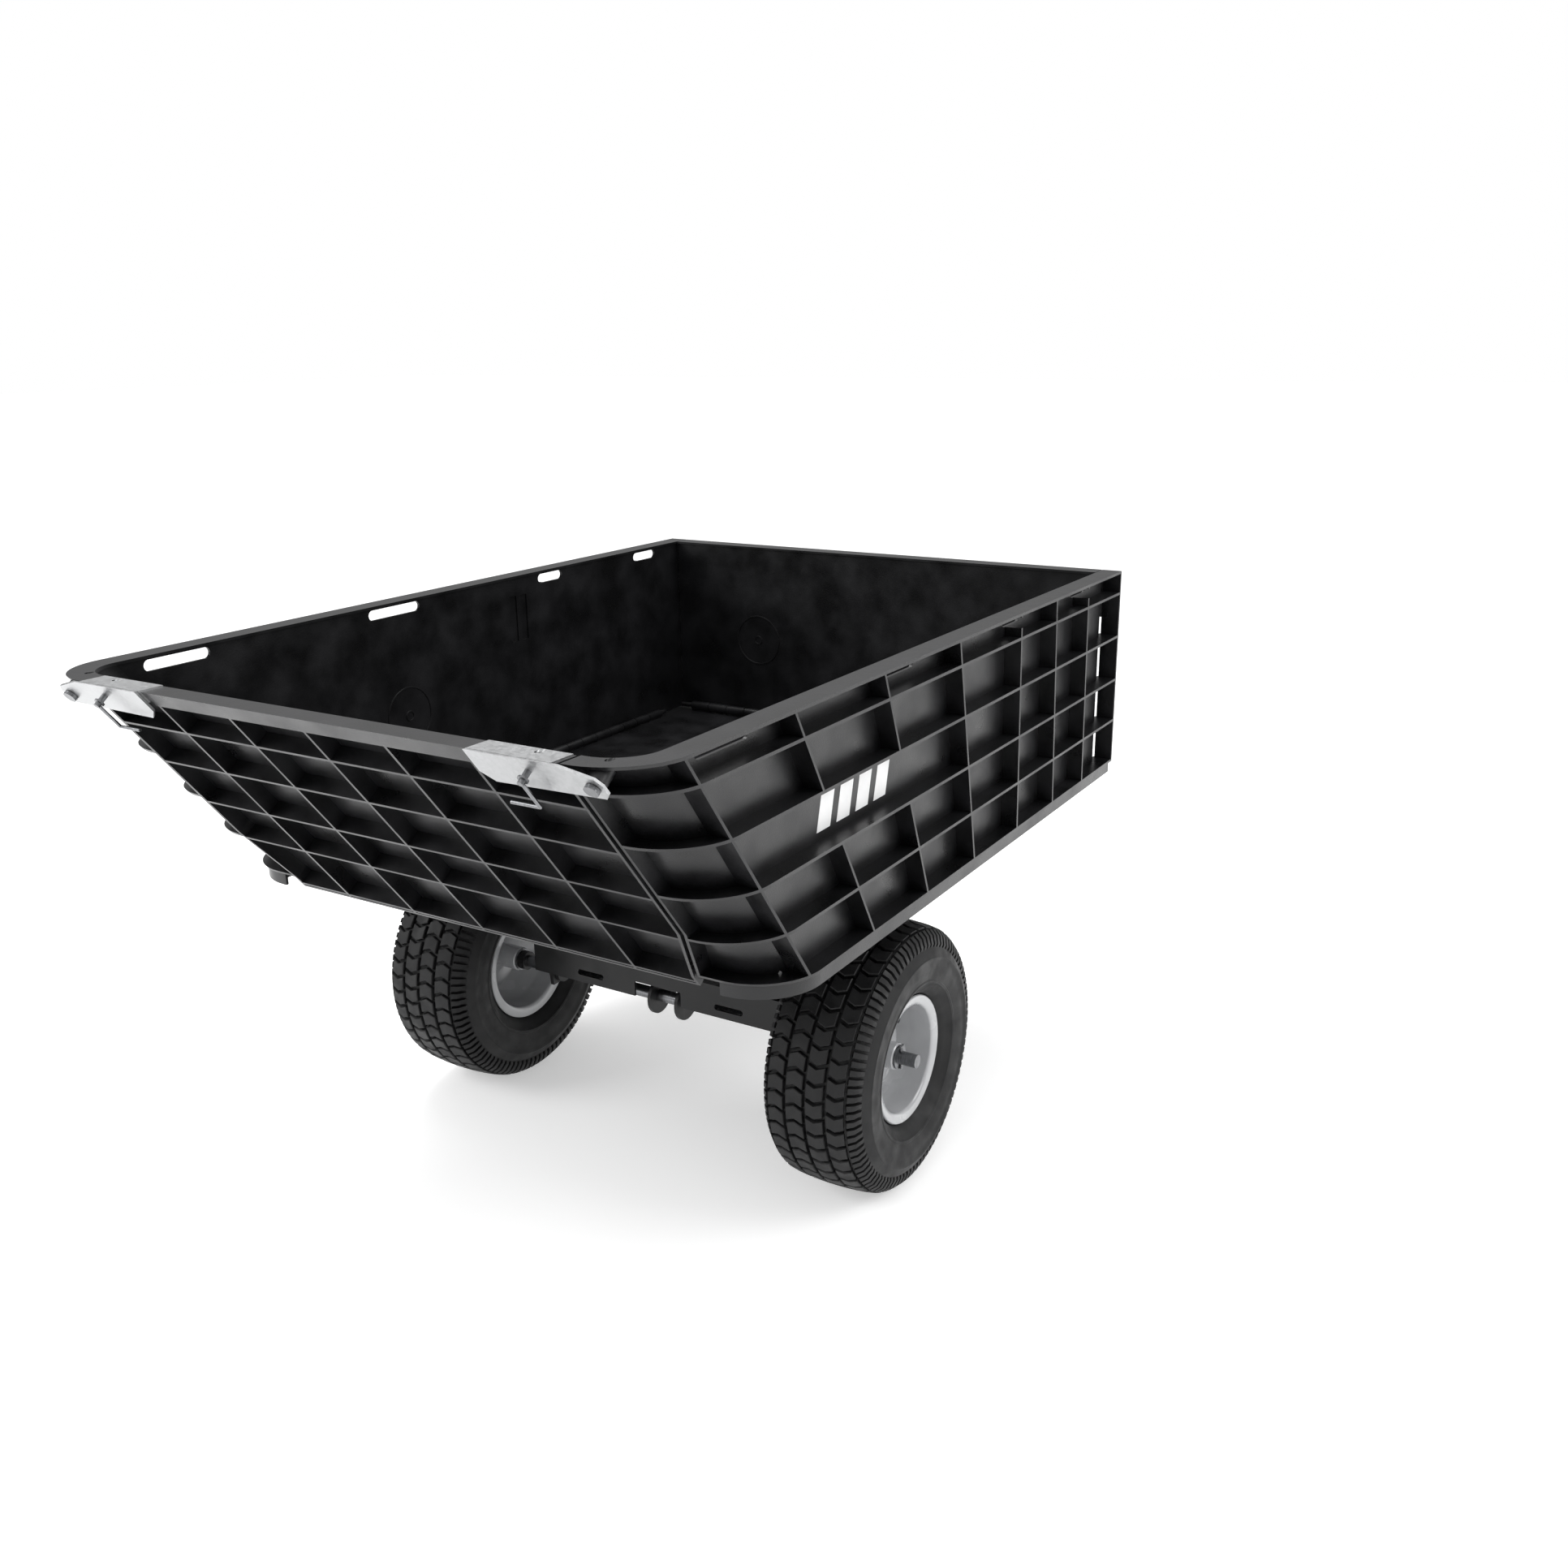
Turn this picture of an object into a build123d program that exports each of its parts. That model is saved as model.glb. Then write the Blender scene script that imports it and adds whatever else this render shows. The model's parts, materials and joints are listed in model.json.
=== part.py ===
"""Tow-behind dump cart with a ribbed plastic bed, folding end panels and a pin-hitch tongue.

Millimetres. X forward to the tractor, Y left, Z up, ground at Z = 0. The model is laid out with
X = 0 over the axle; the last step moves everything so that the origin is under the middle.
"""

from build123d import *
from math import cos, radians, sin, tan
import os

# ---------------------------------------------------------------- bed, overall
BED_WIDTH = 888.0            # over the rib tips
RIM_Z = 778.0                # top of the rim all round
PANEL_BASE_Z = 458.0         # lower edge of the four walls
FRONT_TIP_X = 664.0          # rib tips of the front wall
REAR_RIM_X = -622.0          # inner edge of the tailgate rim
GATE_LEAN = 38.0             # tailgate lean from vertical, degrees

# ---------------------------------------------------------------- moulded walls
SKIN = 4.0
RIB_DEPTH = 25.0
RIB = 4.0
CORNER_RADIUS = 84.0         # rear corners, over the rib tips
RIM_INSET = 3.0              # the rim flange stands inside the skin by this much
RIM_THICK = 4.0
SIDE_ROWS = (0.8875, 0.6656, 0.4406, 0.225, 0.00625)    # parts of the wall height
SIDE_RIBS = ((-577.0, -339.0), (-374.0, -189.0), (-169.0, -41.0), (41.0, 104.0),
             (246.0, 254.0), (379.0, 394.0), (513.0, 521.0))      # x at rim, x at base
BAND_RIBS = (1, 2)           # side ribs left out between rows two and three
SLOT_X = ((-526.0, -426.0), (-147.0, -44.0), (233.0, 295.0), (499.0, 564.0))
SLOT_DROP = (21.0, 6.0)      # slot edges below the rim
GATE_ROWS = (0.0197, 0.2709, 0.4679, 0.6772, 0.8668)    # parts of the slope length
GATE_CELLS = 6               # cells across the tailgate
CORNER_WRAP = 92.0           # width of each side wall that shows at the back
SEAM_GAP = 3.0
SEAM_KINK = (80.0, 27.0)     # height and inward step of the seam's lower end
GROOVE_X = (161.0, 186.0)    # twin stiffening grooves inside each side wall
GROOVE_WIDTH = 15.0
GROOVE_DEPTH = 2.0
GROOVE_DROP = (108.0, 33.0)  # groove ends below the rim
RIM_LIP = 16.0               # downturned edge of the tailgate rim
FRONT_PITCH = 120.0
END_GAP = 1.5                # front panel to side panels

# ---------------------------------------------------------------- floor and hinges
FLOOR_TOP = 456.0
FLOOR_THICK = 6.0
FLOOR_BASE = 440.0
FLOOR_OUTSET = 25.0
FLOOR_RIBS = 9
HINGE_ROD_R = 4.0
KNUCKLE_R = 8.5
KNUCKLE_FIT = 0.06
KNUCKLE_GAP = 0.6
KNUCKLE_WIDTH = 40.0
HINGE_LIFT = 10.0            # rod centre above the floor
HINGE_REACH = 10.0           # rod centre to the wall's inner face

# ---------------------------------------------------------------- axle and wheels
TYRE_RADIUS = 190.5
TYRE_HALF = 79.0
BEAD_RADIUS = 80.0
TRACK_HALF = 340.0
FLANGE_RADIUS = 92.0
FLANGE_OFFSET = 58.0
DISH_OFFSET = 14.0           # wheel disc outboard of the tyre centre
SHEET = 3.0
SHAFT_R = 9.5
SHAFT_END = 412.0
SHAFT_FIT = 0.08
HUB_R = 19.0
HUB_HALF = 42.0
WASHER_R = 17.0
WASHER_THICK = 3.0
COLLAR_THICK = 12.0
COTTER_R = 2.0
VALVE_TURN = 20.0

# ---------------------------------------------------------------- bed carrier
BEAM_HALF = (38.0, 236.0)    # half length in X, half width in Y
BEAM_Z = (200.0, 250.0)
NOTCH_HALF = 42.0
NOTCH_TOP = 224.0
PLATE_R = 28.0               # round lower end of the plates on the axle
BRACKET_Y = 214.0
SUPPORT_X = 33.0
SUPPORT_FOOT = (112.0, 190.0)
SUPPORT_HEAD = (90.0, 300.0)
RAIL_X = ((-214.0, -104.0), (476.0, 616.0))
RAIL_HALF = 260.0
RAIL_DROP = 18.0

# ---------------------------------------------------------------- tongue and hitch
TONGUE_SIZE = 44.0
TONGUE_START = (62.0, 214.0)     # x and centre height of the rear end
TONGUE_END = (1010.0, 292.0)     # x and centre height of the front end
HITCH_X = 1071.0
HITCH_BAR = (60.0, 6.0)          # width and thickness
HITCH_PIN_R = 6.2
HITCH_HOLE_R = 8.0
CLIP_R = 1.6
CLIP_PLAY = 14.0
BOLT_R = 5.0
BOLT_HOLE_R = 5.5
BOLT_X = (85.0, 135.0)
HITCH_BOLT_X = (950.0, 990.0)
POST_X = 640.0
BOLT_PIN_R = 8.0
BOLT_PIN_Z = 400.0
BOLT_THROW = 20.0

# ---------------------------------------------------------------- tailgate latches
ARM_SHEET = 3.0
ARM_GAP = 2.5
ARM_OVERLAP = 107.0          # width of the part over the tailgate
PIVOT_OFFSET = 36.0          # pivot and pull pin, either side of the tailgate end
ARM_PIVOT_DROP = 22.0        # down the slope from the rim's outer corner
ARM_LEG = 42.0
PIN_R = 3.5
PIN_HOLE_R = 4.4
PIN_THROW = 8.0
ARM_BOLT_R = 4.0
ARM_BOLT_BACK = 2.0
ARM_NOSE = 14.0
CAP_SHEET = 2.0
CAP_LIP = 14.0
ARM_BOSS_R = 11.0
CATCH_SHEET = 2.6
CATCH_GAP = 0.6
CATCH_REACH = 28.0
CATCH_DROP = (78.0, 10.0)    # ends of the corner catch below the rim

LEAN = radians(GATE_LEAN)
HALF = BED_WIDTH / 2
INNER_Y = HALF - RIB_DEPTH - SKIN
WALL = RIB_DEPTH + SKIN
FRONT_IN_X = FRONT_TIP_X - WALL
GATE_LENGTH = (RIM_Z - PANEL_BASE_Z) / cos(LEAN)
GATE_RIM_V = GATE_LENGTH + RIB_DEPTH * tan(LEAN)
GATE_HALF = HALF - CORNER_WRAP
GATE_PITCH = 2 * GATE_HALF / GATE_CELLS
SIDE_ROW_Z = tuple(PANEL_BASE_Z + part * (RIM_Z - PANEL_BASE_Z) for part in SIDE_ROWS)
SLOT_Z = tuple(RIM_Z - drop for drop in SLOT_DROP)
GROOVE_Z = tuple(RIM_Z - drop for drop in GROOVE_DROP)
CATCH_Z = tuple(RIM_Z - drop for drop in CATCH_DROP)
ARM_SPAN = (GATE_HALF - ARM_OVERLAP, GATE_HALF)    # |y| of the part over the tailgate
ARM_PIVOT_Y = GATE_HALF + PIVOT_OFFSET
ARM_PIVOT_V = GATE_RIM_V - ARM_PIVOT_DROP
PIN_Y = GATE_HALF - PIVOT_OFFSET
PIN_V = GATE_RIM_V - 12.0
SHAFT_Z = TYRE_RADIUS
SIDES = (("left", 1), ("right", -1))


def rear_inner_x(z):
    """Inner face of the rear wall at height z."""
    return REAR_RIM_X + (RIM_Z - z) * tan(LEAN)


GATE_PLANE = Plane(origin=(rear_inner_x(PANEL_BASE_Z), 0, PANEL_BASE_Z), x_dir=(0, -1, 0),
                   z_dir=(-cos(LEAN), 0, -sin(LEAN)))


# ---------------------------------------------------------------- small builders
def box(x, y, z):
    """Box from three (low, high) pairs."""
    size = [abs(b - a) for a, b in (x, y, z)]
    middle = [(a + b) / 2 for a, b in (x, y, z)]
    return Pos(*middle) * Box(*size)


def gate_box(y, v, w):
    """Box in the tailgate's own frame: y across, v up the slope, w outward."""
    return GATE_PLANE.location * box((-y[1], -y[0]), v, w)


def rod(radius, start, end):
    """Round bar between two points."""
    a, b = Vector(*start), Vector(*end)
    plane = Plane(origin=a, z_dir=(b - a).normalized())
    return plane.location * Cylinder(radius, (b - a).length, align=(Align.CENTER, Align.CENTER, Align.MIN))


def rod_y(radius, x, z, y0, y1):
    """Round bar along Y."""
    return rod(radius, (x, y0, z), (x, y1, z))


def prism_xz(points, y0, y1):
    """Outline in the XZ plane, solid from y0 to y1."""
    face = Plane.XZ * make_face(Polyline(*points, close=True))
    return Pos(0, max(y0, y1), 0) * extrude(face, abs(y1 - y0))


def prism_yz(points, x0, x1):
    """Outline in the YZ plane, solid from x0 to x1."""
    face = Plane.YZ * make_face(Polyline(*points, close=True))
    return Pos(x0, 0, 0) * extrude(face, x1 - x0)


def mirrored(part, side):
    """The part itself on the left, its mirror image on the right."""
    return part if side > 0 else mirror(part, Plane.XZ)


def bed_outline(z, outset):
    """Plan of the bed at height z: square front corners, round rear corners."""
    rear = rear_inner_x(z) - outset
    front = FRONT_IN_X + outset
    half = INNER_Y + outset
    radius = CORNER_RADIUS - WALL + outset
    plan = Pos((rear + front) / 2, 0) * Rectangle(front - rear, 2 * half)
    plan = fillet(plan.vertices().group_by(Axis.X)[0], radius)
    return Pos(0, 0, z) * plan


def bed_block(outset, base=PANEL_BASE_Z, top=RIM_Z):
    """Solid inside the bed's walls, outset from their inner face."""
    return loft([bed_outline(base, outset), bed_outline(top, outset)], ruled=True)


def knuckle_row(length, parity):
    """Centres of every second knuckle along a hinge of the given length."""
    count = int(length // KNUCKLE_WIDTH)
    first = -(count - 1) * KNUCKLE_WIDTH / 2
    return [first + i * KNUCKLE_WIDTH for i in range(count) if i % 2 == parity]


def hinge_knuckles(x, z, length, parity, web):
    """Knuckles on a rod along Y, each with its own web to the floor or wall."""
    pieces = []
    for y in knuckle_row(length, parity):
        low = y - KNUCKLE_WIDTH / 2 + KNUCKLE_GAP
        high = y + KNUCKLE_WIDTH / 2 - KNUCKLE_GAP
        pieces.append(rod_y(KNUCKLE_R, x, z, low, high))
        pieces.append(web(low, high))
    return pieces


def side_knuckles(parity, web):
    """Knuckles on the left side rod, along X."""
    pieces = []
    for x in knuckle_row(2 * SIDE_ROD_HALF, parity):
        low = SIDE_ROD_X + x - KNUCKLE_WIDTH / 2 + KNUCKLE_GAP
        high = SIDE_ROD_X + x + KNUCKLE_WIDTH / 2 - KNUCKLE_GAP
        pieces.append(rod(SIDE_KNUCKLE_R, (low, SIDE_ROD_Y, SIDE_ROD_Z), (high, SIDE_ROD_Y, SIDE_ROD_Z)))
        pieces.append(web(low, high))
    return pieces


BORE_R = HINGE_ROD_R + KNUCKLE_FIT
ROD_Z = FLOOR_TOP + HINGE_LIFT
FRONT_ROD_X = FRONT_IN_X - HINGE_REACH
FRONT_HALF = INNER_Y - RIM_INSET - END_GAP
GATE_ROD_V = (ROD_Z - PANEL_BASE_Z - HINGE_REACH * sin(LEAN)) / cos(LEAN)
REAR_ROD = GATE_PLANE.from_local_coords((0, GATE_ROD_V, -HINGE_REACH))
REAR_ROD_X = REAR_ROD.X
FRONT_HINGE_LENGTH = 2 * FRONT_HALF - 60
REAR_HINGE_LENGTH = 2 * (GATE_HALF - SEAM_KINK[1]) - 20
SIDE_KNUCKLE_R = 7.0
SIDE_ROD_Y = INNER_Y - SIDE_KNUCKLE_R - 2.0
SIDE_ROD_Z = FLOOR_TOP + SIDE_KNUCKLE_R + 0.5
SIDE_ROD_X = (FRONT_ROD_X + REAR_ROD_X) / 2
SIDE_ROD_HALF = (FRONT_ROD_X - REAR_ROD_X) / 2 - 60


# ---------------------------------------------------------------- walls
def gate_clearance(extra=0.0):
    """Space between the two rear corner parts, as wide as the tailgate plus its seam gap."""
    top = GATE_HALF + SEAM_GAP + extra
    foot = top - SEAM_KINK[1]
    bend = PANEL_BASE_Z + SEAM_KINK[0]
    points = [(-top, RIM_Z + 10), (-top, bend), (-foot, PANEL_BASE_Z), (-foot, 0),
              (foot, 0), (foot, PANEL_BASE_Z), (top, bend), (top, RIM_Z + 10)]
    return prism_yz(points, REAR_RIM_X - 2 * CORNER_RADIUS, 0)


def side_rib(x_top, x_base):
    """One upright rib of the side wall, leaning from x_top at the rim to x_base."""
    half = RIB / 2
    outline = [(x_top - half, RIM_Z), (x_top + half, RIM_Z),
               (x_base + half, PANEL_BASE_Z), (x_base - half, PANEL_BASE_Z)]
    return prism_xz(outline, INNER_Y, HALF)


def make_side_panel():
    """Left wall with its rear corner, ribs, rim, hand slots and hinge knuckles."""
    inner = bed_block(0)
    tips = bed_block(WALL)
    ring = tips - inner
    panel = bed_block(SKIN) - inner
    rows = [ring & box((-900, 900), (-600, 600), (z - RIB / 2, z + RIB / 2)) for z in SIDE_ROW_Z]
    rim_slab = box((-900, 900), (-600, 600), (RIM_Z - RIM_THICK, RIM_Z))
    rim = (tips & rim_slab) - (bed_block(-RIM_INSET, PANEL_BASE_Z, RIM_Z + 1) & box(
        (-900, 900), (-600, 600), (RIM_Z - 2 * RIM_THICK, RIM_Z + 1)))
    seam = (ring & gate_clearance(RIB)) & box((-900, -200), (0, 600), (0, 900))
    band = box((-900, 900), (0, 600), (SIDE_ROW_Z[2], SIDE_ROW_Z[1]))
    ribs = []
    for index, (x_top, x_base) in enumerate(SIDE_RIBS):
        rib = side_rib(x_top, x_base) & tips
        ribs.append(rib - band if index in BAND_RIBS else rib)
    front_rib = box((FRONT_TIP_X - RIB, FRONT_TIP_X), (INNER_Y, HALF), (PANEL_BASE_Z, RIM_Z))
    panel = panel + rows + [rim, seam, front_rib] + ribs
    keep = box((-900, 0), (0, 600), (0, 900)) + box((0, 900), (INNER_Y - RIM_INSET, 600), (0, 900))
    panel = (panel & keep) - gate_clearance()
    slot_height = SLOT_Z[1] - SLOT_Z[0]
    for low, high in SLOT_X:
        place = Plane.XZ * Pos((low + high) / 2, sum(SLOT_Z) / 2)
        panel -= Pos(0, INNER_Y + WALL, 0) * extrude(place * SlotOverall(high - low, slot_height), 2 * WALL)
    for low in GROOVE_X:
        panel -= box((low, low + GROOVE_WIDTH), (INNER_Y - 1, INNER_Y + GROOVE_DEPTH), GROOVE_Z)
    webs = side_knuckles(1, lambda low, high: box((low, high), (SIDE_ROD_Y, INNER_Y + 1),
                                                  (SIDE_ROD_Z - 4, SIDE_ROD_Z + 4)))
    panel += webs
    span = (SIDE_ROD_X - SIDE_ROD_HALF - 50, SIDE_ROD_X + SIDE_ROD_HALF + 50)
    panel -= rod(BORE_R, (span[0], SIDE_ROD_Y, SIDE_ROD_Z), (span[1], SIDE_ROD_Y, SIDE_ROD_Z))
    boss = rod(ARM_BOSS_R, *gate_line(ARM_PIVOT_Y, ARM_PIVOT_V, -WALL, RIB_DEPTH)) - inner
    panel += boss & box((-900, 0), (0, 600), (0, RIM_Z))
    panel -= rod(ARM_BOLT_R + 0.1, *gate_line(ARM_PIVOT_Y, ARM_PIVOT_V, -30, 60))
    return panel


def gate_line(y, v, w0, w1):
    """End points of a line square to the tailgate."""
    return [GATE_PLANE.from_local_coords((-y, v, w)) for w in (w0, w1)]


def make_tailgate():
    """Rear wall: leaning plate with square ribs, a level rim and knuckles at its foot."""
    foot = GATE_HALF - SEAM_KINK[1]
    start = RIB_DEPTH * tan(LEAN)
    bend = start + SEAM_KINK[0] / cos(LEAN)
    outline = [(-foot, 0), (-foot, start), (-GATE_HALF, bend), (-GATE_HALF, GATE_LENGTH),
               (GATE_HALF, GATE_LENGTH), (GATE_HALF, bend), (foot, start), (foot, 0)]
    face = make_face(Polyline(*outline, close=True))
    full = GATE_PLANE.location * extrude(face, RIB_DEPTH)
    edge = full - GATE_PLANE.location * extrude(offset(face, amount=-RIB), RIB_DEPTH)
    edge -= gate_box((-GATE_HALF, GATE_HALF), (bend + 20, GATE_LENGTH + 1), (-1, SKIN))
    gate = GATE_PLANE.location * extrude(face, SKIN)
    gate += edge
    for part in GATE_ROWS:
        v = part * GATE_LENGTH
        gate += gate_box((-GATE_HALF, GATE_HALF), (v - RIB / 2, v + RIB / 2), (0, RIB_DEPTH)) & full
    for column in range(-2, 3):
        y = column * GATE_PITCH
        gate += gate_box((y - RIB / 2, y + RIB / 2), (0, GATE_LENGTH), (0, RIB_DEPTH))
    tip_x = REAR_RIM_X - RIB_DEPTH / cos(LEAN)
    lip = RIM_LIP * tan(LEAN)
    rim = [(REAR_RIM_X, RIM_Z), (tip_x, RIM_Z), (tip_x + lip, RIM_Z - RIM_LIP),
           (tip_x + lip + RIM_THICK, RIM_Z - RIM_LIP), (tip_x + 2 * RIM_THICK, RIM_Z - RIM_THICK),
           (REAR_RIM_X, RIM_Z - RIM_THICK)]
    gate += prism_xz(rim, -GATE_HALF, GATE_HALF)
    gate -= box((-900, 0), (-600, 600), (RIM_Z, 900))

    def web(low, high):
        return gate_box((low, high), (GATE_ROD_V - 6, GATE_ROD_V + 6), (-HINGE_REACH, 1))

    gate += hinge_knuckles(REAR_ROD_X, ROD_Z, REAR_HINGE_LENGTH, 1, web)
    gate -= rod_y(BORE_R, REAR_ROD_X, ROD_Z, -GATE_HALF, GATE_HALF)
    for _, side in SIDES:
        gate -= rod(PIN_HOLE_R, *gate_line(side * PIN_Y, PIN_V, SKIN + 2, 60))
    return gate


def make_front_panel():
    """Front wall: upright ribbed plate that folds back between the side walls."""
    across = (-FRONT_HALF, FRONT_HALF)
    depth = (FRONT_IN_X, FRONT_TIP_X)
    height = (PANEL_BASE_Z, RIM_Z)
    panel = box((FRONT_IN_X, FRONT_IN_X + SKIN), across, height)
    for z in SIDE_ROW_Z:
        panel += box(depth, across, (z - RIB / 2, z + RIB / 2))
    columns = [column * FRONT_PITCH for column in range(-3, 4)]
    for y in columns + [-FRONT_HALF + RIB / 2, FRONT_HALF - RIB / 2]:
        panel += box(depth, (y - RIB / 2, y + RIB / 2), height)
    panel += box((FRONT_IN_X - RIM_INSET, FRONT_TIP_X), across, (RIM_Z - RIM_THICK, RIM_Z))

    def web(low, high):
        return box((FRONT_ROD_X, FRONT_IN_X + 1), (low, high), (ROD_Z - 6, ROD_Z + 6))

    panel += hinge_knuckles(FRONT_ROD_X, ROD_Z, FRONT_HINGE_LENGTH, 1, web)
    panel -= rod_y(BORE_R, FRONT_ROD_X, ROD_Z, -FRONT_HALF, FRONT_HALF)
    return panel


def make_floor():
    """Floor pan with a skirt, cross ribs below and knuckles for the four walls."""
    base = bed_outline(PANEL_BASE_Z, FLOOR_OUTSET)
    inside = bed_outline(PANEL_BASE_Z, FLOOR_OUTSET - RIB)
    drop = FLOOR_BASE - PANEL_BASE_Z
    plate = Pos(0, 0, FLOOR_TOP - FLOOR_THICK - PANEL_BASE_Z) * extrude(base, FLOOR_THICK)
    skirt = Pos(0, 0, drop) * (extrude(base, FLOOR_TOP - FLOOR_BASE) - extrude(inside, FLOOR_TOP - FLOOR_BASE))
    floor = plate + skirt
    edge_x = rear_inner_x(PANEL_BASE_Z) + 6.0
    gap = GATE_HALF + SEAM_GAP
    floor -= box((-900, edge_x), (-gap, gap), (0, 900))
    height = (FLOOR_BASE, FLOOR_TOP - FLOOR_THICK)
    floor += box((edge_x, edge_x + RIB), (-gap - 1, gap + 1), (FLOOR_BASE, FLOOR_TOP))
    for index in range(1, FLOOR_RIBS + 1):
        x = edge_x + index * (FRONT_TIP_X - edge_x) / (FLOOR_RIBS + 1)
        floor += box((x - RIB / 2, x + RIB / 2), (-INNER_Y, INNER_Y), height)

    def foot(x):
        return lambda low, high: box((x - 5, x + 5), (low, high), (FLOOR_TOP - 1, ROD_Z))

    floor += hinge_knuckles(FRONT_ROD_X, ROD_Z, FRONT_HINGE_LENGTH, 0, foot(FRONT_ROD_X))
    floor += hinge_knuckles(REAR_ROD_X, ROD_Z, REAR_HINGE_LENGTH, 0, foot(REAR_ROD_X + 5))
    for _, side in SIDES:
        row = side_knuckles(0, lambda low, high: box((low, high), (SIDE_ROD_Y - 4, SIDE_ROD_Y + 4),
                                                     (FLOOR_TOP - 1, SIDE_ROD_Z)))
        floor += [mirrored(piece, side) for piece in row]
        floor -= rod(BORE_R, (-500, side * SIDE_ROD_Y, SIDE_ROD_Z), (700, side * SIDE_ROD_Y, SIDE_ROD_Z))
    floor -= rod_y(BORE_R, FRONT_ROD_X, ROD_Z, -INNER_Y, INNER_Y)
    floor -= rod_y(BORE_R, REAR_ROD_X, ROD_Z, -INNER_Y, INNER_Y)
    return floor


# ---------------------------------------------------------------- latches on the tailgate
def gate_x(w, z):
    """X of the plane at depth w from the tailgate's inner face, at height z."""
    return rear_inner_x(z) - w / cos(LEAN)


def make_rim_cap(side):
    """Bent steel cap over the tailgate rim, which the latch arm lies against."""
    inner, outer = RIB_DEPTH, RIB_DEPTH + CAP_SHEET
    top, low = RIM_Z + CAP_SHEET, RIM_Z - CAP_LIP
    outline = [(REAR_RIM_X - CAP_SHEET, RIM_Z), (gate_x(inner, RIM_Z), RIM_Z), (gate_x(inner, low), low),
               (gate_x(outer, low), low), (gate_x(outer, top), top), (REAR_RIM_X - CAP_SHEET, top)]
    cap = prism_xz(outline, ARM_SPAN[0], ARM_SPAN[1] - 2.0)
    cap -= rod(PIN_HOLE_R, *gate_line(PIN_Y, PIN_V, 0, 60))
    return mirrored(cap, side)


def make_latch_arm(side):
    """Flat steel arm across the seam: it lies outside the rim cap and turns on the corner part."""
    y0, y1 = ARM_SPAN
    inner = RIB_DEPTH + ARM_GAP
    tip_y = ARM_PIVOT_Y + ARM_NOSE
    low_v = GATE_RIM_V - ARM_LEG
    high_v = (RIM_Z + CAP_SHEET - PANEL_BASE_Z + (inner + ARM_SHEET) * sin(LEAN)) / cos(LEAN)
    nose_v = ARM_PIVOT_V + ARM_NOSE
    outline = [(-y0, high_v), (-y0, low_v + 14), (-y0 - 14, low_v), (-tip_y + 6, low_v + 4),
               (-tip_y, low_v + 12), (-tip_y, ARM_PIVOT_V + 5), (-tip_y + 6, nose_v), (-y1, high_v)]
    face = make_face(Polyline(*outline, close=True))
    arm = GATE_PLANE.location * (Pos(0, 0, inner) * extrude(face, ARM_SHEET))
    arm -= box((-900, 0), (0, 600), (RIM_Z + CAP_SHEET, 900))
    arm -= rod(ARM_BOLT_R + 0.1, *gate_line(ARM_PIVOT_Y, ARM_PIVOT_V, 0, 60))
    arm -= rod(PIN_R + 0.15, *gate_line(PIN_Y, PIN_V, 0, 60))
    return mirrored(arm, side)


def make_arm_bolt(side):
    """Shoulder bolt that the arm turns on, screwed into the corner part."""
    face = RIB_DEPTH + ARM_GAP + ARM_SHEET
    shank = rod(ARM_BOLT_R, *gate_line(ARM_PIVOT_Y, ARM_PIVOT_V, ARM_BOLT_BACK, face + 1.0))
    head = rod(8.0, *gate_line(ARM_PIVOT_Y, ARM_PIVOT_V, face + 0.6, face + 5.0))
    return mirrored(shank + head, side)


def make_pull_pin(side):
    """Pull pin drawn back to its held-out position, with a bent wire handle."""
    face = RIB_DEPTH + ARM_GAP + ARM_SHEET
    nose = face + 1.0 - ARM_SHEET
    end = face + PIN_THROW + 8.0
    pin = rod(PIN_R, *gate_line(PIN_Y, PIN_V, nose, end))
    pin += rod(PIN_R + 2.5, *gate_line(PIN_Y, PIN_V, face + PIN_THROW + 1.0, face + PIN_THROW + 3.0))
    wire_w = end - 2.5
    pin += rod(2.0, GATE_PLANE.from_local_coords((-PIN_Y, PIN_V, wire_w)),
               GATE_PLANE.from_local_coords((-PIN_Y, PIN_V - 40, wire_w)))
    pin += rod(2.0, GATE_PLANE.from_local_coords((-PIN_Y, PIN_V - 40, wire_w)),
               GATE_PLANE.from_local_coords((-PIN_Y + 36, PIN_V - 40, wire_w)))
    pin += GATE_PLANE.location * Pos(-PIN_Y, PIN_V - 40, wire_w) * Sphere(2.0)
    return mirrored(pin, side)


def make_corner_catch(side):
    """Spring steel angle at the top front corner that the front wall snaps against."""
    foot = box((FRONT_TIP_X, FRONT_TIP_X + CATCH_SHEET), (INNER_Y - 0.1, HALF - 4), CATCH_Z)
    hook = box((FRONT_TIP_X + CATCH_GAP, FRONT_TIP_X + CATCH_SHEET), (INNER_Y - CATCH_REACH, INNER_Y), CATCH_Z)
    return mirrored(foot + hook, side)


# ---------------------------------------------------------------- axle and bed carrier
def make_beam():
    """Folded channel across the cart, open below, cleared in the middle for the tongue plates."""
    half_x, half_y = BEAM_HALF
    beam = box((-half_x, half_x), (-half_y, half_y), BEAM_Z)
    beam -= box((-half_x + SHEET, half_x - SHEET), (-half_y - 1, half_y + 1), (0, BEAM_Z[1] - SHEET))
    beam -= box((-half_x - 1, half_x + 1), (-NOTCH_HALF, NOTCH_HALF), (0, NOTCH_TOP))
    for _, side in SIDES:
        slot = Plane.XZ.rotated((0, 0, 90)) * Pos(side * 126, 216) * SlotOverall(50, 9)
        beam -= extrude(slot, 60, both=True)
    return beam


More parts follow.
